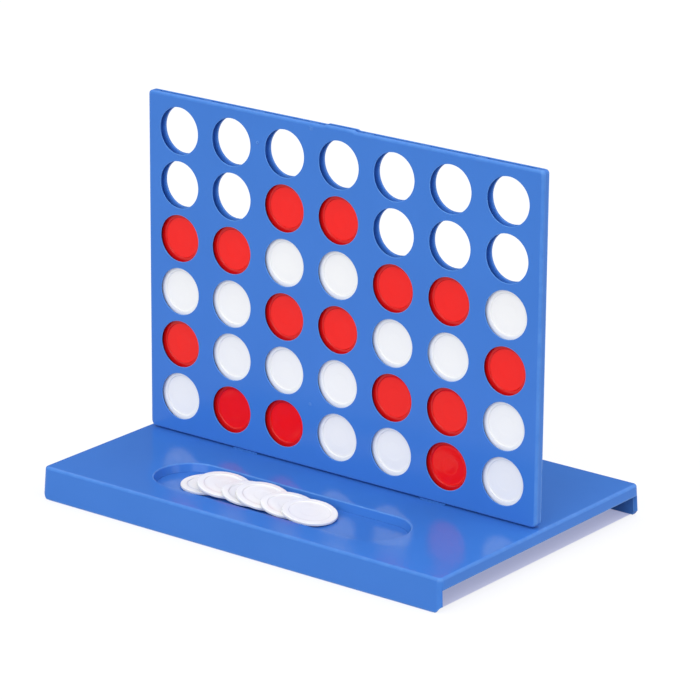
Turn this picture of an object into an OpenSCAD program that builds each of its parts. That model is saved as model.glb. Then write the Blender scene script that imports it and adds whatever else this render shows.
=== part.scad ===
// Four in a row frame: a low moulded base, an upright grid and two sets of discs.
// The origin lies on the floor under the middle of the base.
// +X runs along the row of columns, +Y points to the rear and +Z points up.

/* [Discs] */
// Diameter of a disc
disc_d = 19.7; // [16:0.1:24]
// Thickness of a disc at its rim
disc_t = 1.1; // [0.9:0.05:2]
// Width of the raised rim on each face
disc_rim_w = 2.3; // [1:0.1:4]
// Depth of the flat centre below the rim
disc_recess = 0.25; // [0.05:0.05:0.3]
// Bevel on the outer edges of the rim
disc_bevel = 0.2; // [0.05:0.05:0.3]

/* [Columns] */
// Room between two stacked discs
stack_gap = 0.3; // [0.2:0.05:1]
// Room under the lowest disc
floor_gap = 0.2; // [0.1:0.05:1]
// Room at each edge of a disc, towards the dividers
edge_gap = 0.25; // [0.15:0.05:1]
// Room at each face of a disc, towards the panels
face_gap = 0.2; // [0.15:0.05:0.6]
// Width of a divider between two columns
divider_w = 3.8; // [3:0.1:8]
// Width of the wall at each side of the grid
side_wall_w = 4.15; // [3:0.05:10]
// Height of the rail under the columns
rail_h = 4.1; // [3:0.1:10]
// Height of the panels above the highest disc
headroom = 3.15; // [1:0.05:8]

/* [Panels] */
// Thickness of the front and of the rear panel
panel_t = 1.25; // [0.8:0.05:3]
// How far the panels cover the edge of a disc
window_cover = 1.15; // [0.6:0.05:2]
// Bevel around each window
window_bevel = 0.35; // [0.1:0.05:0.6]
// Radius of the upper corners of the grid
top_corner_r = 1.5; // [0.5:0.1:3.5]
// Radius of the lower corners of the grid
bottom_corner_r = 2.2; // [0.5:0.1:2.6]
// Width of the raised stretch in the middle of the top edge
crest_w = 14; // [6:0.5:30]
// Height of the raised stretch in the middle of the top edge
crest_h = 0.4; // [0.1:0.05:2]

/* [Pegs] */
// Diameter of the pegs that hold the rear panel
peg_d = 2; // [1:0.1:2.6]
// Depth to which a peg enters the rear panel
peg_l = 0.7; // [0.3:0.05:0.75]
// Room around and beyond a peg
peg_gap = 0.05; // [0.02:0.01:0.15]

/* [Tabs] */
// Width of a tab under the grid
tab_w = 11; // [6:0.5:20]
// Thickness of a tab
tab_t = 3.4; // [1.5:0.1:5]
// Length of a tab
tab_l = 4.4; // [2:0.1:8]
// Distance of each tab from the middle of the grid
tab_x = 42; // [20:0.5:60]
// Room around a tab in its socket
tab_gap = 0.3; // [0.15:0.05:0.8]
// Room between the grid and the base
seat_gap = 0.4; // [0.2:0.05:0.9]

/* [Base] */
// Height of the base
base_h = 12.1; // [10:0.1:30]
// Length of the deck beyond each end of the grid
deck_end = 1.8; // [0:0.05:20]
// Thickness of the deck
deck_t = 1.8; // [1.2:0.1:4]
// Thickness of the skirts and the end lips
skirt_t = 1.6; // [1:0.1:4]
// How far the foot of a skirt stands out beyond the deck
skirt_flare = 0.8; // [0:0.05:3]
// Height of the lip at each end
lip_h = 4.4; // [3:0.1:6]
// Radius of the edges around the deck
deck_edge_r = 1.1; // [0.4:0.1:1.5]
// Radius of the upright corners of the base
base_corner_r = 1.8; // [0.5:0.1:4]
// Wall around each socket
socket_wall = 1.2; // [0.8:0.1:3]

/* [Trays] */
// Room beside a disc on the floor of a tray
tray_room = 2.65; // [0.5:0.05:6]
// Width of the steep side of a tray
tray_slope_w = 1; // [0.5:0.1:5]
// Depth of a tray
tray_depth = 3; // [0.8:0.1:3]
// Thickness of the floor of a tray
tray_floor_t = 1.5; // [1:0.1:3]
// Distance from the middle of the base to a tray
tray_inset = 20.5; // [10:0.5:40]
// Width of the deck outside a tray
tray_rim = 11.6; // [4:0.1:30]
// Length of the deck beyond each end of a tray
tray_end = 32.8; // [8:0.1:40]

/* [Toppled discs] */
// Mean distance between neighbours among the toppled discs
pile_step = 9.55; // [6:0.05:9.8]
// Place of the first front disc from the middle, to the left
front_pile_start = 33.9; // [26:0.1:36]
// Place of the first rear disc from the middle, to the right
rear_pile_start = 31; // [26:0.1:36]
// How far the first disc of a pile lies off the middle of its tray, towards the grid
pile_offset = 1.6; // [0:0.1:2]
// Turn of each pile, which brings its last disc towards the outside of the base
pile_turn = 2.9; // [0:0.1:4]
// Room between the toppled discs and under them
pile_gap = 0.25; // [0.15:0.05:0.6]

/* [Hidden] */
$fn = 96;
blue = [0.25, 0.49, 0.84];
red = [0.92, 0.16, 0.13];
white = [0.93, 0.93, 0.94];

columns = 7;
rows = 6;
// One string for each column, from the lowest disc up, with r for red and w for white
column_discs = ["wrwr", "rwwr", "rwrwr", "wwrwr", "wrwr", "rrwr", "wwrw"];
column_letters = "abcdefg";
pile_count = 6;
// Share of the mean distance between each two neighbours in a pile
pile_shares = [0.83, 1.24, 0.68, 1.22, 1.03];
// Pegs stand between these levels and the ones above them
peg_levels = [1, 3, 5];

// Length by which a cutting shape runs past the surface that it cuts
past = 1;

// Pitches and sizes of the grid
row_pitch = disc_d + stack_gap;
slot_w = disc_d + 2 * edge_gap;
slot_t = disc_t + 2 * face_gap;
column_pitch = slot_w + divider_w;
grid_w = columns * slot_w + (columns - 1) * divider_w + 2 * side_wall_w;
grid_h = rail_h + floor_gap + rows * row_pitch - stack_gap + headroom;
grid_t = slot_t + 2 * panel_t;
window_r = disc_d / 2 - window_cover;

// Heights above the floor
grid_bottom = base_h + seat_gap;
first_level = grid_bottom + rail_h + floor_gap + disc_d / 2;
tray_floor = base_h - tray_depth;

// Sizes of the base and its trays
tray_floor_r = disc_d / 2 + tray_room;
tray_r = tray_floor_r + tray_slope_w;
deck_l = grid_w + 2 * deck_end;
deck_w = 2 * (tray_inset + 2 * tray_r + tray_rim);
foot_l = deck_l + 2 * skirt_flare;
foot_w = deck_w + 2 * skirt_flare;
tray_y = tray_inset + tray_r;
tray_half = deck_l / 2 - tray_end - tray_r;
flare_rate = skirt_flare / base_h;
lip_bottom = base_h - lip_h;

function column_x(c) = (c - (columns - 1) / 2) * column_pitch;
function level_z(l) = first_level + l * row_pitch;
// How far a toppled disc lies from the one before it, and from the first one
function pile_stride(i) = pile_step * pile_shares[i - 1];
function pile_reach(i) = i == 0 ? 0 : pile_reach(i - 1) + pile_stride(i);
// The slope of a toppled disc: it clears the low edge and the raised edge of the disc before it by pile_gap
function pile_slope(i) = i == 0 ? 0 : max(
    (disc_t + pile_gap) / pile_stride(i),
    ((disc_d - pile_stride(i)) * pile_slope(i - 1) + disc_t + pile_gap) / disc_d
);
function colour_name(mark) = mark == "r" ? "red" : "white";
function column_disc_name(c, l) =
    str(colour_name(column_discs[c][l]), "_disc_", column_letters[c], l + 1);
function pile_disc_name(side, i) =
    str(side == "front" ? "white" : "red", "_disc_", side, "_", i + 1);

column_disc_names = [
    for (c = [0 : columns - 1])
        for (l = [0 : len(column_discs[c]) - 1])
            column_disc_name(c, l)
];
pile_disc_names = [
    for (side = ["front", "rear"])
        for (i = [0 : pile_count - 1])
            pile_disc_name(side, i)
];

// A flat shape drawn in x and height, given thickness t from y to the rear
module upright(y, t) {
    translate([0, y + t, 0]) rotate([90, 0, 0]) linear_extrude(t) children();
}

// A profile drawn in depth and height, carried along X over length l
module along_x(l) {
    rotate([90, 0, 90]) linear_extrude(l, center = true) children();
}

// A profile drawn in length and height, carried along Y over length l
module along_y(l) {
    rotate([90, 0, 0]) linear_extrude(l, center = true) children();
}

// A shape that narrows from foot to top width over height h, with round upper corners of radius r
module rounded_trapezoid(foot, top, h, r) {
    rate = (foot - top) / 2 / h;
    slant = sqrt(1 + rate * rate);
    centre_x = foot / 2 - rate * (h - r) - r * slant;
    side_x = centre_x + r / slant;
    side_y = h - r + r * rate / slant;
    polygon([
        [-foot / 2, 0], [foot / 2, 0], [side_x, side_y],
        [centre_x, h], [-centre_x, h], [-side_x, side_y]
    ]);
    for (x = [-centre_x, centre_x]) translate([x, h - r]) circle(r);
}

// The hollow under a deck: the same slant, wall t inside the foot width, up to height top
module hollow_profile(foot, t, top) {
    low = foot / 2 - t + flare_rate * past;
    high = foot / 2 - t - flare_rate * top;
    polygon([[-low, -past], [low, -past], [high, top], [-high, top]]);
}

// An oblong with round ends of radius r, whose end centres lie half from the middle
module oblong(half, r) {
    square([2 * half, 2 * r], center = true);
    for (x = [-half, half]) translate([x, 0]) circle(r);
}

// The outline of the grid, with its lower edge on y = 0
module grid_outline() {
    translate([-grid_w / 2, bottom_corner_r])
        square([grid_w, grid_h - bottom_corner_r - top_corner_r]);
    translate([-grid_w / 2 + bottom_corner_r, 0])
        square([grid_w - 2 * bottom_corner_r, grid_h / 2]);
    translate([-grid_w / 2 + top_corner_r, grid_h / 2])
        square([grid_w - 2 * top_corner_r, grid_h / 2]);
    for (side = [-1, 1]) {
        translate([side * (grid_w / 2 - bottom_corner_r), bottom_corner_r]) circle(bottom_corner_r);
        translate([side * (grid_w / 2 - top_corner_r), grid_h - top_corner_r]) circle(top_corner_r);
    }
}

// A panel of the grid: its outline, the raised middle of its top edge and a window for each place
module panel_face() {
    difference() {
        union() {
            grid_outline();
            translate([-crest_w / 2, grid_h / 2]) square([crest_w, grid_h / 2 + crest_h]);
        }
        for (c = [0 : columns - 1])
            for (l = [0 : rows - 1])
                translate([column_x(c), level_z(l) - grid_bottom]) circle(window_r);
    }
}

// The bevel around every window on an outer face at y, where side is -1 on the front and 1 on the rear
module window_bevels(y, side) {
    for (c = [0 : columns - 1])
        for (l = [0 : rows - 1])
            translate([column_x(c), y, level_z(l)])
                rotate([side * 90, 0, 0])
                    cylinder(window_bevel, window_r + window_bevel, window_r);
}

// The places of the pegs on the inner dividers
module at_pegs() {
    for (c = [0 : columns - 2])
        for (l = peg_levels)
            translate([column_x(c) + column_pitch / 2, slot_t / 2, level_z(l) - row_pitch / 2])
                rotate([-90, 0, 0]) children();
}

module front_panel() {
    color(blue) difference() {
        translate([0, 0, grid_bottom]) upright(-grid_t / 2, panel_t) panel_face();
        window_bevels(-grid_t / 2, -1);
    }
}

module rear_panel() {
    color(blue) difference() {
        translate([0, 0, grid_bottom]) upright(slot_t / 2, panel_t) panel_face();
        window_bevels(grid_t / 2, 1);
        at_pegs() cylinder(peg_l + peg_gap, d = peg_d + 2 * peg_gap);
    }
}

// The dividers stand on a rail like the teeth of a comb, open at the top
module column_dividers() {
    color(blue) {
        translate([0, 0, grid_bottom]) upright(-slot_t / 2, slot_t) difference() {
            grid_outline();
            for (c = [0 : columns - 1])
                translate([column_x(c) - slot_w / 2, rail_h]) square([slot_w, grid_h]);
        }
        at_pegs() cylinder(peg_l, d = peg_d);
        for (side = [-1, 1])
            translate([side * tab_x - tab_w / 2, -tab_t / 2, grid_bottom - tab_l])
                cube([tab_w, tab_t, tab_l]);
    }
}

// The outer form of the base, with slanting skirts and round edges around the deck
module base_form() {
    intersection() {
        along_x(foot_l + 2 * past) rounded_trapezoid(foot_w, deck_w, base_h, deck_edge_r);
        along_y(foot_w + 2 * past) rounded_trapezoid(foot_l, deck_l, base_h, deck_edge_r);
        linear_extrude(base_h) union() {
            square([foot_l, foot_w - 2 * base_corner_r], center = true);
            square([foot_l - 2 * base_corner_r, foot_w], center = true);
            for (x = [-1, 1])
                for (y = [-1, 1])
                    translate([x * (foot_l / 2 - base_corner_r), y * (foot_w / 2 - base_corner_r)])
                        circle(base_corner_r);
        }
    }
}

// The space under the deck, and the way out below the lip at each end
module base_hollow() {
    intersection() {
        along_x(foot_l) hollow_profile(foot_w, skirt_t, base_h - deck_t);
        along_y(foot_w) hollow_profile(foot_l, skirt_t, base_h - deck_t);
    }
    along_x(foot_l + 2 * past) hollow_profile(foot_w, skirt_t, lip_bottom);
}

// The inside of a tray: a flat floor with steep sides and round ends
module tray_inside() {
    mouth_r = tray_r + past * tray_slope_w / tray_depth;
    along_x(2 * tray_half)
        polygon([
            [-tray_floor_r, 0], [tray_floor_r, 0],
            [mouth_r, tray_depth + past], [-mouth_r, tray_depth + past]
        ]);
    for (x = [-tray_half, tray_half])
        translate([x, 0, 0]) cylinder(tray_depth + past, tray_floor_r, mouth_r);
}

module base() {
    color(blue) difference() {
        union() {
            difference() {
                base_form();
                base_hollow();
            }
            for (side = [-1, 1]) {
                translate([0, side * tray_y, tray_floor - tray_floor_t])
                    linear_extrude(tray_depth + tray_floor_t - deck_edge_r) oblong(tray_half, tray_r);
                translate([side * tab_x, 0, base_h - tab_l]) linear_extrude(tab_l - deck_t / 2)
                    square([tab_w, tab_t] + 2 * (tab_gap + socket_wall) * [1, 1], center = true);
            }
        }
        for (side = [-1, 1]) {
            translate([0, side * tray_y, tray_floor]) tray_inside();
            translate([side * tab_x, 0, base_h - tab_l - past]) linear_extrude(tab_l + 2 * past)
                square([tab_w, tab_t] + 2 * tab_gap * [1, 1], center = true);
        }
    }
}

// A disc on its side at the origin, with a raised rim on both faces
module disc(mark) {
    edge = disc_d / 2;
    rim = edge - disc_rim_w;
    half = disc_t / 2;
    color(mark == "r" ? red : white) rotate_extrude() polygon([
        [0, -half + disc_recess], [rim - disc_recess, -half + disc_recess], [rim, -half],
        [edge - disc_bevel, -half], [edge, -half + disc_bevel],
        [edge, half - disc_bevel], [edge - disc_bevel, half],
        [rim, half], [rim - disc_recess, half - disc_recess], [0, half - disc_recess]
    ]);
}

module column_disc(c, l) {
    translate([column_x(c), 0, level_z(l)]) rotate([90, 0, 0]) disc(column_discs[c][l]);
}

// The first disc of a pile lies flat and each of the others leans on the one before it
module front_pile_disc(mark, start, i) {
    lean = atan(pile_slope(i));
    lift = pile_gap + disc_d / 2 * sin(lean) + disc_t / 2 * cos(lean);
    translate([-start, pile_offset - tray_y, tray_floor])
        rotate([0, 0, -pile_turn])
            translate([pile_reach(i), 0, lift])
                rotate([0, lean, 0]) disc(mark);
}

base();
front_panel();
column_dividers();
rear_panel();
for (c = [0 : columns - 1])
    for (l = [0 : len(column_discs[c]) - 1])
        column_disc(c, l);
for (i = [0 : pile_count - 1]) {
    front_pile_disc("w", front_pile_start, i);
    rotate([0, 0, 180]) front_pile_disc("r", rear_pile_start, i);
}
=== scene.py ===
"""Looks of a four in a row frame: a moulded base, an upright grid and two sets of discs."""
import math

import bmesh
import bpy
import numpy as np
from mathutils import Matrix, Vector


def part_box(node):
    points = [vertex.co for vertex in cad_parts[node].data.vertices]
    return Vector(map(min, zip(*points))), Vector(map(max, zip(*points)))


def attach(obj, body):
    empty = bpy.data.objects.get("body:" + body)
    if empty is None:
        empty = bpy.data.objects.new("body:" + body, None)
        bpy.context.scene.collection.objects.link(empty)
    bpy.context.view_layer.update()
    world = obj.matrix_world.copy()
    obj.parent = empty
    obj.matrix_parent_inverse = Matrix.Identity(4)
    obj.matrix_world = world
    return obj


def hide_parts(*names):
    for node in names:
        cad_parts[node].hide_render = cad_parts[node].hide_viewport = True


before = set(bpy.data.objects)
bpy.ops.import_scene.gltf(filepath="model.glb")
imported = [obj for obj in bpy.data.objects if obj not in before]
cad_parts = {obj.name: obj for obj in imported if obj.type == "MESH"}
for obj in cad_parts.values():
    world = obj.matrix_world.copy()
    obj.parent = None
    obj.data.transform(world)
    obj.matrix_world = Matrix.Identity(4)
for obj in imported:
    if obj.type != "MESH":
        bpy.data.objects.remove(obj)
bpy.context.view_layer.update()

# Base
# One blue moulding: a deck on two long skirts, with a low lip at each end, open underneath.
# Two long trays hold spare discs, and two sockets in the middle take the tabs of the grid.
# Its sides slant and its edges are round, because the part has to leave its mould.
# All sizes are in millimetres. Points closer than the weld are joined to one.
mm = 0.001
weld = 0.002
sharp_bend = math.radians(40)
foot_x, foot_y, deck_z = (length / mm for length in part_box("base")[1])
skirt_flare = 0.8
skirt_t = 1.6
deck_t = 1.8
corner_r = 1.8
deck_edge_r = 1.1
foot_r = 0.4
hook_rise = 1.9
lip_h = 4.4
lip_z = deck_z - lip_h
under_z = deck_z - deck_t
inset_x = foot_x - skirt_flare - corner_r
inset_y = foot_y - skirt_flare - corner_r

socket_x = 42.0
socket_half = 5.8
socket_half_t = 2.0
socket_wall = 1.2
strip_y = 12.0

tray_y = 34.0
tray_end_inset = 47.3
tray_half = inset_x + corner_r - tray_end_inset
tray_wall_r = 12.65
tray_depth = 3.0
tray_slope = math.radians(72)
tray_edge_r = 0.6
tray_foot_r = 0.15
tray_floor_shares = np.array([0.66, 0.33, 0])
boss_r = 15.0
boss_top_r = 14.0
boss_depth = 2.7

quarter = math.pi / 2
end_corner_degrees = 25
skirt_corner_degrees = 90 - end_corner_degrees
end_turn = np.radians(np.linspace(0, end_corner_degrees, 3)[1:])
skirt_turn = np.radians(np.linspace(0, skirt_corner_degrees, 7)[1:])
no_turn = end_turn[:0]
deck_rings = 4
deck_edge_points = 9
edge_clear = 1.4
foot_points = 5
foot_clear = 2
tray_round_points = 8


def ease(start, end, value):
    """A share that goes from 0 at start to 1 at end, level at both: three times its square less twice
    its cube."""
    share = np.clip((value - start) / (end - start), 0, 1)
    return share * share * (3 - 2 * share)


def stepped(*stops):
    """A row of numbers through stops, which are given in turn with the count of steps from each to
    the next."""
    starts = range(0, len(stops) - 2, 2)
    runs = [np.linspace(stops[i], stops[i + 2], stops[i + 1] + 1)[:-1] for i in starts]
    return np.concatenate([*runs, stops[-1:]])


def both_sides(lines):
    """Lines that start at 0, with their mirror images."""
    return np.concatenate([-lines[:0:-1], lines])


def around(block, turns):
    """The closed path around a block of points, with the way outwards and the number of the side at
    each point. At a corner the point repeats, while its way outwards swings from one side to the next.
    The turns are the angles that it swings at both ends of the first and third side, and at both ends
    of the other two."""
    points, angles, numbers = [], [], []
    for number, side in enumerate((block[:, 0], block[-1], block[::-1, -1], block[0, ::-1])):
        heading = (number - 1) * quarter
        turn = turns[number % 2]
        points += [np.repeat(side[:1], len(turn), 0), side, np.repeat(side[-1:], len(turn), 0)]
        angles += [heading - turn[::-1], np.full(len(side), heading), heading + turn]
        numbers.append(np.full(len(side) + 2 * len(turn), number))
    points, angles, numbers = (np.concatenate(rows) for rows in (points, angles, numbers))
    closed = np.append(np.arange(len(angles)), 0)
    outward = np.stack([np.cos(angles), np.sin(angles)], -1)
    return points[closed], outward[closed], numbers[closed]


def at_height(plan, z):
    """Points of a plan at the height z, which is one number or one for each point."""
    return np.concatenate([plan, np.broadcast_to(z, plan.shape[:-1])[..., None]], -1)


def mark_bends(mesh):
    """Keeps at each vertex how tightly the skin bends there, in radians turned for each millimetre.
    It is positive on outer edges, negative in inner corners, and zero where the skin is flat."""
    least_reach = 0.05
    count = len(mesh.polygons)
    corners = np.empty(count, np.int32)
    normal = np.empty(count * 3, np.float32)
    centre = np.empty(count * 3, np.float32)
    edge_of_corner = np.empty(len(mesh.loops), np.int32)
    ends = np.empty(len(mesh.edges) * 2, np.int32)
    mesh.polygons.foreach_get("loop_total", corners)
    mesh.polygons.foreach_get("normal", normal)
    mesh.polygons.foreach_get("center", centre)
    mesh.loops.foreach_get("edge_index", edge_of_corner)
    mesh.edges.foreach_get("vertices", ends)
    face_of_corner = np.repeat(np.arange(count), corners)
    pairs = face_of_corner[np.argsort(edge_of_corner, kind="stable")].reshape(-1, 2)
    turned = np.diff(normal.reshape(-1, 3)[pairs], axis=1)[:, 0]
    crossed = np.diff(centre.reshape(-1, 3)[pairs], axis=1)[:, 0] / mm
    reach = np.maximum(np.linalg.norm(crossed, axis=1), least_reach)
    bend = np.linalg.norm(turned, axis=1) / reach * np.sign((turned * crossed).sum(1))
    edges_at_vertex = np.bincount(ends, minlength=len(mesh.vertices))
    mean = np.bincount(ends, np.repeat(bend, 2), len(mesh.vertices)) / np.maximum(edges_at_vertex, 1)
    mesh.attributes.new("bend", "FLOAT", "POINT").data.foreach_set("value", mean.astype(np.float32))


def add_piece(name, patches, material, body, node):
    """One closed mesh from grids of points in millimetres, each with the cells of it that are kept.
    Grids that meet have the same points along their border, so welding these closes the skin."""
    points, faces, start = [], [], 0
    for grid, kept in patches:
        rows, columns = grid.shape[:2]
        index = start + np.arange(rows * columns).reshape(rows, columns)
        cells = np.stack([index[:-1, :-1], index[1:, :-1], index[1:, 1:], index[:-1, 1:]], -1)
        faces.append(cells[np.broadcast_to(kept, cells.shape[:2])])
        points.append(grid.reshape(-1, 3))
        start += rows * columns
    mesh = bpy.data.meshes.new(name)
    mesh.from_pydata(np.concatenate(points) * mm, [], np.concatenate(faces))
    skin = bmesh.new()
    skin.from_mesh(mesh)
    bmesh.ops.remove_doubles(skin, verts=skin.verts, dist=weld * mm)
    bmesh.ops.dissolve_degenerate(skin, edges=skin.edges, dist=weld * mm)
    bmesh.ops.recalc_face_normals(skin, faces=skin.faces)
    skin.to_mesh(mesh)
    skin.free()
    mesh.shade_smooth()
    mesh.set_sharp_from_angle(angle=sharp_bend)
    mark_bends(mesh)
    mesh.materials.append(material)
    piece = bpy.data.objects.new(name, mesh)
    bpy.context.scene.collection.objects.link(piece)
    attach(piece, body)
    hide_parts(node)
    return mesh


# Each pattern in the plastic has patches of a width, and shows over a span of its cloud's numbers.
# Bends are in radians turned for each millimetre.
plastic_ior = 1.46
flow_patch = 34
flow_span = (0.3, 0.7)
rub_patch = 3
rub_span = (0.3, 0.7)
rub_least = 0.4
# Outer edges are painted paler: partly rubbed wear, and partly a painted highlight where an edge catches
# the light.
wear_and_highlight_bends = (0.1, 0.9)
wear_and_highlight_share = 0.6
# Inner corners are darkened as painted shade.
corner_shade_bends = (-1.2, -0.2)
corner_shade_share = 0.6
polish_patch = 9
polish_span = (0.25, 0.75)
polish_swing = 0.03
scuff_patch = 2.2
scuff_stretch = (1, 1, 0.12)
scuff_span = (0.56, 0.72)
scuff_dulling = 0.025
ripple_patch = 6
ripple_h = 0.05
ripple_strength = 0.25
pit_patch = 0.4
pit_h = 0.01
pit_strength = 0.2


def spread(tree, value, span, onto):
    """A value laid from one span of numbers onto another, and held at the ends of it."""
    node = tree.nodes.new("ShaderNodeMapRange")
    tree.links.new(value, node.inputs["Value"])
    node.inputs["From Min"].default_value, node.inputs["From Max"].default_value = span
    node.inputs["To Min"].default_value, node.inputs["To Max"].default_value = onto
    return node.outputs["Result"]


def joined(tree, operation, first, second):
    """Two values joined by one step of arithmetic."""
    node = tree.nodes.new("ShaderNodeMath")
    node.operation = operation
    tree.links.new(first, node.inputs[0])
    tree.links.new(second, node.inputs[1])
    return node.outputs["Value"]


def mixed(tree, share, first, second):
    """Two colours mixed by a share of the second. Each is three numbers or comes from a node. A mix has
    sockets of several kinds, of which inputs 6 and 7 and output 2 are its colours."""
    node = tree.nodes.new("ShaderNodeMix")
    node.data_type = "RGBA"
    tree.links.new(share, node.inputs["Factor"])
    for socket, colour in ((node.inputs[6], first), (node.inputs[7], second)):
        if isinstance(colour, tuple):
            socket.default_value = (*colour, 1)
        else:
            tree.links.new(colour, socket)
    return node.outputs[2]


def moulded_plastic(
    name, colour, deep_colour, wear_and_highlight_colour, corner_shade_colour, roughness, shine, rim_shade_share=0
):
    """Glossy moulded plastic. Its colour drifts slowly, as the melt flowed, is paler on outer edges, partly
    as rubbed wear and partly as a painted highlight, darker in inner corners as painted shade and, by the
    rim shade share, darker on the rims of discs as painted shade. The mould's polish ripples the skin, fine
    scuffs dull the gloss, and pits too small to see singly soften it. The shine is how much of the gloss of
    bare plastic it has, from 0 to 0.5 for all of it."""
    material = bpy.data.materials.new(name)
    material.use_nodes = True
    tree = material.node_tree
    shader = tree.nodes["Principled BSDF"]
    shader.inputs["IOR"].default_value = plastic_ior
    shader.inputs["Specular IOR Level"].default_value = shine
    place = tree.nodes.new("ShaderNodeTexCoord").outputs["Object"]

    def cloud(size, detail, stretch=(1, 1, 1)):
        """A cloud pattern with patches about as wide as size in millimetres, longer along an axis of
        low stretch."""
        mapping = tree.nodes.new("ShaderNodeMapping")
        mapping.inputs["Scale"].default_value = stretch
        pattern = tree.nodes.new("ShaderNodeTexNoise")
        pattern.inputs["Scale"].default_value = 1 / (size * mm)
        pattern.inputs["Detail"].default_value = detail
        tree.links.new(place, mapping.inputs["Vector"])
        tree.links.new(mapping.outputs["Vector"], pattern.inputs["Vector"])
        return pattern.outputs["Fac"]

    def kept(mark):
        """A number that the mesh keeps at each vertex."""
        node = tree.nodes.new("ShaderNodeAttribute")
        node.attribute_name = mark
        return node.outputs["Fac"]

    def bump(height, depth, strength):
        """A skin raised by a pattern, up to depth in millimetres."""
        node = tree.nodes.new("ShaderNodeBump")
        node.inputs["Strength"].default_value = strength
        node.inputs["Distance"].default_value = depth * mm
        tree.links.new(height, node.inputs["Height"])
        return node

    bend = kept("bend")
    flow = spread(tree, cloud(flow_patch, detail=3), flow_span, (0, 1))
    # Paler outer edges: partly rubbed wear, partly a painted highlight.
    edges = spread(tree, bend, wear_and_highlight_bends, (0, wear_and_highlight_share))
    patchy = spread(tree, cloud(rub_patch, detail=2), rub_span, (rub_least, 1))
    # Painted shade: darker in inner corners, where the bend is negative.
    corners = spread(tree, bend, corner_shade_bends, (corner_shade_share, 0))
    # Painted shade on the rim of a disc, darkened towards the corner colour by the rim shade share.
    rim_shade = spread(tree, kept("rim_shade"), (0, 1), (0, rim_shade_share))
    flowed = mixed(tree, flow, colour, deep_colour)
    worn_and_highlighted = mixed(tree, joined(tree, "MULTIPLY", edges, patchy), flowed, wear_and_highlight_colour)
    corner_shaded = mixed(tree, corners, worn_and_highlighted, corner_shade_colour)
    tree.links.new(mixed(tree, rim_shade, corner_shaded, corner_shade_colour), shader.inputs["Base Color"])

    rough_span = (roughness - polish_swing, roughness + polish_swing)
    polish = spread(tree, cloud(polish_patch, detail=2), polish_span, rough_span)
    scratches = cloud(scuff_patch, detail=4, stretch=scuff_stretch)
    scuffs = spread(tree, scratches, scuff_span, (0, scuff_dulling))
    tree.links.new(joined(tree, "ADD", polish, scuffs), shader.inputs["Roughness"])
    ripple = bump(cloud(ripple_patch, detail=2), ripple_h, ripple_strength)
    pits = bump(cloud(pit_patch, detail=2), pit_h, pit_strength)
    tree.links.new(ripple.outputs["Normal"], pits.inputs["Normal"])
    tree.links.new(pits.outputs["Normal"], shader.inputs["Normal"])
    return material


blue_plastic = moulded_plastic(
    "blue_moulded_plastic",
    colour=(0.05, 0.194, 0.63),
    deep_colour=(0.046, 0.184, 0.605),
    wear_and_highlight_colour=(0.15, 0.36, 0.78),
    corner_shade_colour=(0.02, 0.1, 0.4),
    roughness=0.17,
    shine=0.2,
)

# The lines of the deck pass through the edges of the sockets and their walls.
x_lines = both_sides(stepped(
    0, 16, socket_x - socket_half - socket_wall, 1, socket_x - socket_half,
    8, socket_x + socket_half, 1, socket_x + socket_half + socket_wall, 18, inset_x,
))
strip_lines = stepped(0, 2, socket_half_t, 1, socket_half_t + socket_wall, 4, strip_y)
y_lines = both_sides(np.concatenate([strip_lines, stepped(strip_y, 22, inset_y)[1:]]))
deck_plan = np.stack(np.meshgrid(x_lines, y_lines, indexing="ij"), -1)


def tray_wall():
    """The wall of a tray from the deck to its floor, as distances from the tray's middle line and drops
    below the deck. It bends over the round rim, goes straight down its slope, and bends back into the
    round foot."""
    radius, drop = [], []
    for round_r, start_drop, way in ((tray_edge_r, 0, 1), (tray_foot_r, tray_depth, -1)):
        bend = np.linspace(0, tray_slope, tray_round_points)[::way]
        over = round_r * np.sin(bend)
        fall = round_r * (1 - np.cos(bend))
        straight = (tray_depth / 2 - fall.max()) / math.tan(tray_slope)
        radius.append(tray_wall_r + way * (straight + over.max() - over))
        drop.append(start_drop + way * fall)
    return np.concatenate(radius), np.concatenate(drop)


def tray_cell(side, wall_r, wall_drop, level):
    """The deck on one side as rings around its tray. Each point of its border goes straight to the tray's
    middle line, level as far as the wall, then by the wall's distances and drops, and level again across
    the floor."""
    border, _, _ = around(deck_plan[:, side * y_lines >= strip_y - weld], (no_turn, no_turn))
    spine_x = np.clip(border[:, 0], -tray_half, tray_half)
    spine = np.stack([spine_x, np.full(len(border), side * tray_y)], -1)
    away = np.linalg.norm(border - spine, axis=1)[:, None]
    outside = wall_r[0] + np.linspace(1, 0, deck_rings + 1)[:-1] * (away - wall_r[0])
    inside = np.concatenate([wall_r, wall_r[-1] * tray_floor_shares])
    radius = np.concatenate([outside, np.broadcast_to(inside, (len(border), len(inside)))], 1)
    plan = spine[:, None] + radius[..., None] * ((border - spine) / away)[:, None]
    floor_drop = np.full(len(tray_floor_shares), wall_drop[-1])
    drop = np.concatenate([np.zeros(deck_rings), wall_drop, floor_drop])
    return at_height(plan, np.broadcast_to(level - drop, radius.shape)), True


def deck_strip(level, wall):
    """The middle of the deck as a flat grid, without the cells that lie in a socket or in its wall."""
    plan = deck_plan[:, abs(y_lines) < strip_y + weld]
    middle = (plan[:-1, :-1] + plan[1:, 1:]) / 2
    beside = abs(abs(middle[..., 0]) - socket_x) > socket_half + wall
    before = abs(middle[..., 1]) > socket_half_t + wall
    return at_height(plan, level), beside | before


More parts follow.
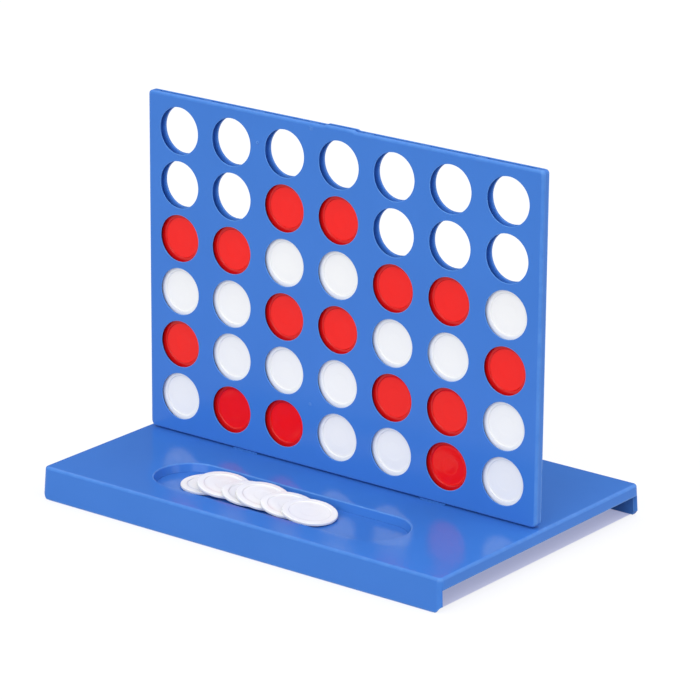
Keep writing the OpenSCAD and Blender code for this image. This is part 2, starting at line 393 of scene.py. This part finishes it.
def socket_skin(side):
    """The wall of a socket: from the deck down its hole, across its lower end and up its outside to the
    underside."""
    near_x = abs(x_lines - side * socket_x) < socket_half + socket_wall + weld
    near_y = abs(y_lines) < socket_half_t + socket_wall + weld
    outer, _, _ = around(deck_plan[near_x][:, near_y], (no_turn, no_turn))
    middle = np.array([side * socket_x, 0])
    half = np.array([socket_half, socket_half_t])
    hole = np.clip(outer, middle - half, middle + half)
    profile = ((hole, deck_z), (hole, lip_z), (outer, lip_z), (outer, under_z))
    return np.stack([at_height(plan, z) for plan, z in profile], 1), True


def base_rim():
    """The profile of the edge, carried around the deck: over the round edge, down the slanting outside,
    around the foot and up the inside. Its foot is on the floor at the front and rear, where it rises a
    little around the corners, and high at the end lips."""
    border, outward, number = around(deck_plan, (skirt_turn, end_turn))
    corner_rise = hook_rise * ease(0, math.sin(skirt_turn[-1]), abs(outward[:, 0]))
    foot = np.where(number % 2 == 1, lip_z, corner_rise)
    rate = skirt_flare / deck_z
    edge_d = corner_r + rate * deck_edge_r - deck_edge_r * math.hypot(1, rate)

    def outside(z):
        """How far the slanting outside is from the border at a height."""
        return corner_r + rate * (deck_z - z)

    profile = [(0, deck_z)]
    for angle in np.linspace(quarter, math.atan(rate), deck_edge_points):
        fall = deck_edge_r * (1 - math.sin(angle))
        profile.append((edge_d + deck_edge_r * math.cos(angle), deck_z - fall))
    below_edge = deck_z - edge_clear * deck_edge_r
    above_foot = foot + foot_clear * foot_r
    profile += [(outside(z), z) for z in (below_edge, above_foot)]
    foot_round = []
    for angle in np.linspace(0, quarter, foot_points):
        foot_round.append((foot_r * (1 - math.cos(angle)), foot + foot_r * (1 - math.sin(angle))))
    profile += [(outside(foot) - inward, z) for inward, z in foot_round]
    profile += [(outside(foot) - skirt_t + inward, z) for inward, z in foot_round[::-1]]
    profile += [(outside(under_z) - skirt_t, under_z), (0, under_z)]
    rings = [at_height(border + outward * np.reshape(d, (-1, 1)), z) for d, z in profile]
    return np.stack(rings, 1), True


boss_wall = np.array([boss_r, boss_top_r]), np.array([0, boss_depth])
base_patches = [base_rim(), deck_strip(deck_z, 0), deck_strip(under_z, socket_wall)]
for side in (-1, 1):
    base_patches.append(tray_cell(side, *tray_wall(), deck_z))
    base_patches.append(tray_cell(side, *boss_wall, under_z))
    base_patches.append(socket_skin(side))
add_piece("base_moulding", base_patches, blue_plastic, "base", "base")

# Front panel
# The front of the grid is a thin blue sheet with a round window for each place, moulded in one with the
# dividers. Its windows widen towards the inside, its face sinks a little over each divider, its top edge
# has a low crest in the middle, and three small round marks between windows are left from the mould.
columns = 7
rows = 6
panel_low, panel_high = (np.array(corner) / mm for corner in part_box("front_panel"))
panel_half = panel_high[0]
crest_h = 0.4
crest_half = 6.0
crest_ramp = 1.0
panel_bottom = panel_low[2]
panel_top = panel_high[2] - crest_h
edge_r = 1.0
bottom_corner_r = 2.2
top_corner_r = 1.5
window_r = 8.7
front_lip_r = 0.18
front_flare = 0.9
sink_depth = 0.04
sink_half = 2.6
gate_places = ((2.5, 0.5), (1.5, 5.1), (2.5, 5.55))
gate_r = 0.75
gate_h = 0.1
gate_depth = 0.3

corner_turn = np.linspace(0, quarter / 2, 5)[1:]
side_steps = 24
face_rings = 6
lip_points = 7
edge_points = 9
seam_points = 4
gate_points = 13
gate_sides = 24


def middle_of(node):
    """The middle of a node's box in millimetres."""
    return np.mean(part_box(node), axis=0) / mm


first_x, _, first_z = middle_of("white_disc_a1")
column_pitch = middle_of("red_disc_b1")[0] - first_x
row_pitch = middle_of("red_disc_a2")[2] - first_z


def at_place(column, row):
    """The x and height of a place, counted in columns and rows from the first window."""
    return np.array([first_x + column * column_pitch, first_z + row * row_pitch])


def face_plan():
    """The points of the face on a lattice: lines between the columns and between the rows, each in even
    steps. The outer lines stay a corner's radius inside the edge, which is larger at the bottom than at
    the top."""
    share = np.arange(rows * side_steps + 1) / side_steps
    row_lines = first_z + (np.arange(rows + 1) - 0.5) * row_pitch
    row_lines[[0, -1]] = panel_bottom + bottom_corner_r, panel_top - top_corner_r
    z = np.interp(share, np.arange(rows + 1), row_lines)
    inset = np.interp(z, row_lines[[0, -1]], (bottom_corner_r, top_corner_r))
    x = first_x + (np.arange(columns * side_steps + 1) / side_steps - 0.5) * column_pitch
    inner = x[side_steps]
    outer_share = np.clip((abs(x) - abs(inner)) / column_pitch, 0, 1)[:, None]
    reach = np.minimum(abs(x), abs(inner))[:, None] + outer_share * (panel_half - inset - abs(inner))
    return np.stack([np.sign(x)[:, None] * reach, np.broadcast_to(z, reach.shape)], -1)


panel_plan = face_plan()


def standing(plan, y):
    """Points of a plan drawn in x and height, at the depth y, which is one number or one for each point."""
    return np.insert(plan, 1, np.broadcast_to(y, plan.shape[:-1]), -1)


def face_sink(x):
    """How far the face lies below flat: deepest over the middle of a divider, and level beside it."""
    divider = np.round((x - first_x) / column_pitch - 0.5)
    distance = abs(x - first_x - (np.clip(divider, 0, columns - 2) + 0.5) * column_pitch)
    return sink_depth * (1 - ease(0, sink_half, distance))


def window_cell(column, row, face_y, back_y, lip_r, flare):
    """One place of a panel as rings around its window. Each point of its border goes straight to the
    window's middle: over the face, around the lip, through the sheet, where the hole widens by the flare,
    and back over the rear."""
    block = panel_plan[column * side_steps:, row * side_steps:][:side_steps + 1, :side_steps + 1]
    border, _, _ = around(block, (no_turn, no_turn))
    middle = at_place(column, row)
    away = np.linalg.norm(border - middle, axis=1)[:, None]
    lip_start = window_r + lip_r
    over = np.linspace(0, quarter, lip_points)[1:]
    flat = lip_start + np.linspace(1, 0, face_rings) * (away - lip_start)
    lip = np.broadcast_to(lip_start - lip_r * np.sin(over), (len(border), len(over)))
    radius = np.concatenate([flat, lip, 0 * away + window_r + flare, away], 1)
    plan = middle + radius[..., None] * ((border - middle) / away)[:, None]
    depth = np.concatenate([np.zeros(face_rings), lip_r * (1 - np.cos(over))])
    front = face_y + np.sign(back_y - face_y) * (depth + face_sink(plan[:, :-2, 0]))
    return standing(plan, np.concatenate([front, np.full((len(border), 2), back_y)], 1)), True


def panel_edge(face_y, back_y, seam_r):
    """The profile of the edge, carried around a panel: around its outer edge and back to its rear face.
    Its width is the corner's radius at the bottom and top, what is left beside the lattice, and more at
    the crest."""
    border, outward, number = around(panel_plan, (corner_turn, corner_turn))
    x = abs(border[:, 0])
    crest = crest_h * np.clip((crest_half + crest_ramp - x) / crest_ramp, 0, 1)
    beside = panel_half - x
    width = np.choose(number, [0 * x + bottom_corner_r, beside, top_corner_r + crest, beside])
    inward = np.sign(back_y - face_y)
    profile = [(0, face_y + inward * face_sink(border[:, 0])), (width / 2 - edge_r / 2, face_y)]
    for angle in np.linspace(0, quarter, edge_points):
        depth = edge_r * (1 - math.cos(angle))
        profile.append((width - edge_r * (1 - math.sin(angle)), face_y + inward * depth))
    for angle in np.linspace(0, quarter, seam_points):
        depth = seam_r * (1 - math.sin(angle))
        profile.append((width - seam_r * (1 - math.cos(angle)), back_y - inward * depth))
    profile.append((0, back_y))
    rings = [standing(border + outward * np.reshape(d, (-1, 1)), y) for d, y in profile]
    return np.stack(rings, 1), True


def gate_mark(column, row, face_y):
    """A small mark on a face to the front. It is level in its middle, highest halfway out and level again
    at its edge, and is closed inside the sheet."""
    radius = np.linspace(0, gate_r, gate_points)
    rise = gate_h * (ease(0, gate_r / 2, radius) - ease(gate_r / 2, gate_r, radius))
    radius = np.concatenate([radius, [gate_r, 0]])
    rise = np.concatenate([rise, [-gate_depth, -gate_depth]])
    turn = np.linspace(0, 4 * quarter, gate_sides + 1)[:, None]
    plan = at_place(column, row) + np.stack([radius * np.cos(turn), radius * np.sin(turn)], -1)
    return standing(plan, face_y - rise), True


def add_panel(name, node, face_y, back_y, lip_r, flare, seam_r, marks=()):
    """A panel with all its windows, its edge and any small marks on its face."""
    patches = [panel_edge(face_y, back_y, seam_r)]
    patches += [gate_mark(column, row, face_y) for column, row in marks]
    for column in range(columns):
        patches += [window_cell(column, row, face_y, back_y, lip_r, flare) for row in range(rows)]
    add_piece(name, patches, blue_plastic, "grid", node)


add_panel(
    "front_panel_moulding", "front_panel", face_y=panel_low[1], back_y=panel_high[1],
    lip_r=front_lip_r, flare=front_flare, seam_r=0, marks=gate_places,
)

# Column dividers
# The dividers stand on a rail like the teeth of a comb and keep the two panels a disc apart, open at the
# top. They are one blue moulding with the front panel, and the two tabs below the rail plug into the base.
# Their shape is already right, so they only take the same finish.
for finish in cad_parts["column_dividers"].material_slots:
    finish.material = blue_plastic

# Rear panel
# The rear of the grid is a second blue sheet with the same windows, pressed onto pegs of the dividers.
# A fine round along its inner edge shows the seam where it meets the front moulding.
rear_low, rear_high = (np.array(corner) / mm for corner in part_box("rear_panel"))
rear_lip_r = 0.6
rear_seam_r = 0.2
add_panel(
    "rear_panel_moulding", "rear_panel", face_y=rear_high[1], back_y=rear_low[1],
    lip_r=rear_lip_r, flare=0, seam_r=rear_seam_r,
)

# Discs in the columns
# Each is a thin red or white moulding with a raised rim on both faces and a faint round mark in its middle.
# They lie loose in the columns, one on the other, and show through the windows.
disc_r = 9.85
disc_half_t = 0.55
disc_edge_r = 0.3
rim_inner_r = 7.6
rim_foot_r = 7.3
recess = 0.25
mark_r = 3.6
mark_foot_r = 3.3
mark_depth = 0.03
disc_edge_points = 7
disc_sides = 96

red_plastic = moulded_plastic(
    "red_moulded_plastic",
    colour=(0.95, 0.006, 0.003),
    deep_colour=(0.91, 0.005, 0.003),
    wear_and_highlight_colour=(0.95, 0.03, 0.02),
    corner_shade_colour=(0.4, 0.001, 0.003),
    roughness=0.1,
    shine=0.32,
    rim_shade_share=0.5,
)
white_plastic = moulded_plastic(
    "white_moulded_plastic",
    colour=(0.92, 0.92, 0.91),
    deep_colour=(0.905, 0.905, 0.9),
    wear_and_highlight_colour=(0.93, 0.93, 0.925),
    corner_shade_colour=(0.75, 0.75, 0.76),
    roughness=0.1,
    shine=0.4,
)
plastics = {"red": red_plastic, "white": white_plastic}


def disc_skin():
    """A disc around the z axis: the profile of one face from its middle to its edge, with its mirror
    image, turned. The face steps down from the rim to the recess, and again to the mark in the middle."""
    face_r = stepped(
        0, 3, mark_foot_r, 4, mark_r, 4, rim_foot_r, 6, rim_inner_r, 4, disc_r - disc_edge_r
    )
    drop = recess * ease(rim_inner_r, rim_foot_r, face_r) + mark_depth * ease(mark_r, mark_foot_r, face_r)
    angle = np.linspace(0, quarter, disc_edge_points)[1:]
    radius = np.concatenate([face_r, disc_r - disc_edge_r * (1 - np.sin(angle))])
    height = disc_half_t - np.concatenate([drop, disc_edge_r * (1 - np.cos(angle))])
    radius = np.append(radius, radius[::-1])
    height = np.append(height, -height[::-1])
    turn = np.linspace(0, 4 * quarter, disc_sides + 1)[:, None]
    plan = np.stack([radius * np.cos(turn), radius * np.sin(turn)], -1)
    return at_height(plan, height)


def add_disc(node, turning):
    """A disc turned by a matrix and set at the middle of its node, with a mark for the painted shade of its
    rim, from 0 at the rim's foot to 1 at its inner edge and beyond."""
    colour, _, place = node.partition("_disc_")
    skin = [(disc_skin() @ turning.T + middle_of(node), True)]
    mesh = add_piece(f"{place}_{colour}_disc", skin, plastics[colour], node, node)
    corners = np.empty(len(mesh.vertices) * 3, np.float32)
    mesh.vertices.foreach_get("co", corners)
    away = np.linalg.norm(corners.reshape(-1, 3) / mm - middle_of(node), axis=1)
    # Where the rim of a disc is painted darker as shade.
    rim_shade = ease(rim_foot_r, rim_inner_r, away).astype(np.float32)
    mesh.attributes.new("rim_shade", "FLOAT", "POINT").data.foreach_set("value", rim_shade)


upright = np.array([[1, 0, 0], [0, 0, -1], [0, 1, 0]])
disc_nodes = [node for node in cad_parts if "_disc_" in node]
for node in disc_nodes:
    if "front" not in node and "rear" not in node:
        add_disc(node, upright)

# Toppled discs
# Six more white discs lie in the front tray and six red ones in the rear tray, fallen over like a row of
# books. The first of each pile lies flat, and the others lean on the one before, with their far edge down
# in the tray.
pile_gap = 0.25
disc_room = 2 * disc_half_t + pile_gap


def turned(axis, angle):
    """The turn by an angle about the axis with that number, from x as 0 to z as 2."""
    first, second = (axis + 1) % 3, (axis + 2) % 3
    matrix = np.eye(3)
    matrix[[first, second], [first, second]] = math.cos(angle)
    matrix[second, first] = math.sin(angle)
    matrix[first, second] = -math.sin(angle)
    return matrix


def add_pile(pile):
    """Toppled discs along the line from the first to the last. The slope of each clears the disc before
    it, both at that disc's low edge, one stride back, and under its own raised edge, where that disc's
    slope counts too."""
    middles = np.array([middle_of(node) for node in pile])
    length, breadth, _ = middles[-1] - middles[0]
    heading = turned(2, math.atan2(breadth, length))
    strides = np.linalg.norm(np.diff(middles[:, :2], axis=0), axis=1)
    slopes = [0.0]
    for stride in strides:
        under_raised_edge = ((2 * disc_r - stride) * slopes[-1] + disc_room) / (2 * disc_r)
        slopes.append(max(disc_room / stride, under_raised_edge))
    for node, slope in zip(pile, slopes):
        add_disc(node, heading @ turned(1, math.atan(slope)))


add_pile([node for node in disc_nodes if "front" in node])
add_pile([node for node in disc_nodes if "rear" in node])

# Floor
# A plain white floor. Beside the base it is bleached, as in a studio picture, and only a faint shadow is
# left on it. Under the base it is bleached less, so the shadow of the base stays, and there the bleach
# glows lavender and the seen paint is cool, as painted blue light thrown from the base into its shadow. The
# light that it throws back is that of a greyer floor, so that pale discs keep their shading.
floor_half = 3000
floor_roughness = 0.9
bleach_inset = 3.5
bleached_under = 0.45
bleached_beside = 0.75
bleach_light = 1.05
# The lavender glow under the base is painted blue light in the base's shadow.
painted_shadow_tint_under = (0.58, 0.61, 0.88)
bleach_tint_beside = (1, 1, 1)
seen_paint = (0.84, 0.86, 1)
thrown_back = (0.5, 0.5, 0.5)
floor_mesh = bpy.data.meshes.new("floor")
floor_corners = np.array([(-1, -1), (1, -1), (1, 1), (-1, 1)]) * floor_half
floor_mesh.from_pydata(at_height(floor_corners, 0) * mm, [], [(0, 1, 2, 3)])
floor = bpy.data.objects.new("floor", floor_mesh)
bpy.context.scene.collection.objects.link(floor)
floor_paint = bpy.data.materials.new("floor_paint")
floor_paint.use_nodes = True
floor_mesh.materials.append(floor_paint)
floor_tree = floor_paint.node_tree
floor_link = floor_tree.links.new


def within(coordinate, reach):
    """One where a coordinate is no further from 0 than reach in millimetres, and nothing beyond."""
    node = floor_tree.nodes.new("ShaderNodeMath")
    node.operation = "COMPARE"
    node.inputs[1].default_value = 0
    node.inputs[2].default_value = reach * mm
    floor_link(coordinate, node.inputs[0])
    return node.outputs["Value"]


rays = floor_tree.nodes.new("ShaderNodeLightPath")
seen = rays.outputs["Is Camera Ray"]
for kind in ("Is Glossy Ray", "Is Transmission Ray"):
    seen = joined(floor_tree, "MAXIMUM", seen, rays.outputs[kind])
floor_place = floor_tree.nodes.new("ShaderNodeTexCoord")
floor_axes = floor_tree.nodes.new("ShaderNodeSeparateXYZ")
floor_link(floor_place.outputs["Object"], floor_axes.inputs["Vector"])
between_ends = within(floor_axes.outputs["X"], foot_x - bleach_inset)
between_skirts = within(floor_axes.outputs["Y"], foot_y)
under_base = joined(floor_tree, "MULTIPLY", between_ends, between_skirts)

painted = floor_tree.nodes["Principled BSDF"]
painted.inputs["Roughness"].default_value = floor_roughness
painted.inputs["Specular IOR Level"].default_value = 0
floor_link(mixed(floor_tree, seen, thrown_back, seen_paint), painted.inputs["Base Color"])
bleached = floor_tree.nodes.new("ShaderNodeEmission")
bleached.inputs["Strength"].default_value = bleach_light
# White bleach beside the base, and a lavender glow under it as painted light in its shadow.
bleach_and_painted_shadow_tint = mixed(floor_tree, under_base, bleach_tint_beside, painted_shadow_tint_under)
floor_link(bleach_and_painted_shadow_tint, bleached.inputs["Color"])
bleached_share = spread(floor_tree, under_base, (0, 1), (bleached_beside, bleached_under))
floor_skin = floor_tree.nodes.new("ShaderNodeMixShader")
floor_link(joined(floor_tree, "MULTIPLY", seen, bleached_share), floor_skin.inputs["Fac"])
floor_link(painted.outputs["BSDF"], floor_skin.inputs[1])
floor_link(bleached.outputs["Emission"], floor_skin.inputs[2])
floor_link(floor_skin.outputs["Shader"], floor_tree.nodes["Material Output"].inputs["Surface"])

# Light
# A studio with dim walls under a bright ceiling, and three broad soft lamps: low at the front, at the right
# and, a weak one, at the rear right, where the deck doesn't mirror it. The walls end and the ceiling begins
# at a height of the direction, as a share of straight up.
wall_light = 0.15
wall_ends = 0.35
ceiling_light = 1.31
ceiling_begins = 0.7
scene = bpy.context.scene
world = bpy.data.worlds.new("studio")
scene.world = world
world.use_nodes = True
world_nodes = world.node_tree.nodes
world_link = world.node_tree.links.new
direction = world_nodes.new("ShaderNodeTexCoord")
direction_axes = world_nodes.new("ShaderNodeSeparateXYZ")
brightness = world_nodes.new("ShaderNodeMapRange")
brightness.interpolation_type = "SMOOTHSTEP"
brightness.inputs["From Min"].default_value = wall_ends
brightness.inputs["From Max"].default_value = ceiling_begins
brightness.inputs["To Min"].default_value = wall_light
brightness.inputs["To Max"].default_value = ceiling_light
world_link(direction.outputs["Generated"], direction_axes.inputs["Vector"])
world_link(direction_axes.outputs["Z"], brightness.inputs["Value"])
world_link(brightness.outputs["Result"], world_nodes["Background"].inputs["Strength"])
world_nodes["Background"].inputs["Color"].default_value = (1, 1, 1, 1)


def add_lamp(name, energy, width, place):
    """A broad soft lamp that shines from a place, and is as wide as an angle in degrees."""
    light = bpy.data.lights.new(name, "SUN")
    light.energy = energy
    light.angle = math.radians(width)
    lamp = bpy.data.objects.new(name, light)
    lamp.rotation_euler = Vector(place).to_track_quat("Z", "Y").to_euler()
    scene.collection.objects.link(lamp)


add_lamp("front_lamp", energy=1.6, width=50, place=(0.12, -0.94, 0.32))
add_lamp("side_lamp", energy=0.8, width=40, place=(0.97, 0.1, 0.22))
add_lamp("rear_lamp", energy=0.55, width=50, place=(0.55, 0.81, 0.2))

# Camera
# It stands at the front right, a little above the grid, as in the photograph.
# It is far off with a long lens, so the uprights of the grid hardly converge.
camera_azimuth = math.radians(37.45)
camera_elevation = math.radians(18.26)
camera_roll = math.radians(0.446)
camera_distance = 1372.3
camera_aim = Vector((4.14, 0, 59.67))
camera_lens = 200.92
camera_sensor = 36
back = Vector((
    math.sin(camera_azimuth) * math.cos(camera_elevation),
    -math.cos(camera_azimuth) * math.cos(camera_elevation),
    math.sin(camera_elevation),
))
level_right = Vector((0, 0, 1)).cross(back).normalized()
level_up = back.cross(level_right)
right = math.cos(camera_roll) * level_right + math.sin(camera_roll) * level_up
up = back.cross(right)
camera_data = bpy.data.cameras.new("camera")
camera_data.sensor_fit = "HORIZONTAL"
camera_data.sensor_width = camera_sensor
camera_data.lens = camera_lens
camera = bpy.data.objects.new("camera", camera_data)
camera_turn = Matrix((right, up, back)).transposed().to_4x4()
camera.matrix_world = Matrix.Translation((camera_aim + camera_distance * back) * mm) @ camera_turn
scene.collection.objects.link(camera)
scene.camera = camera
scene.view_settings.view_transform = "Standard"
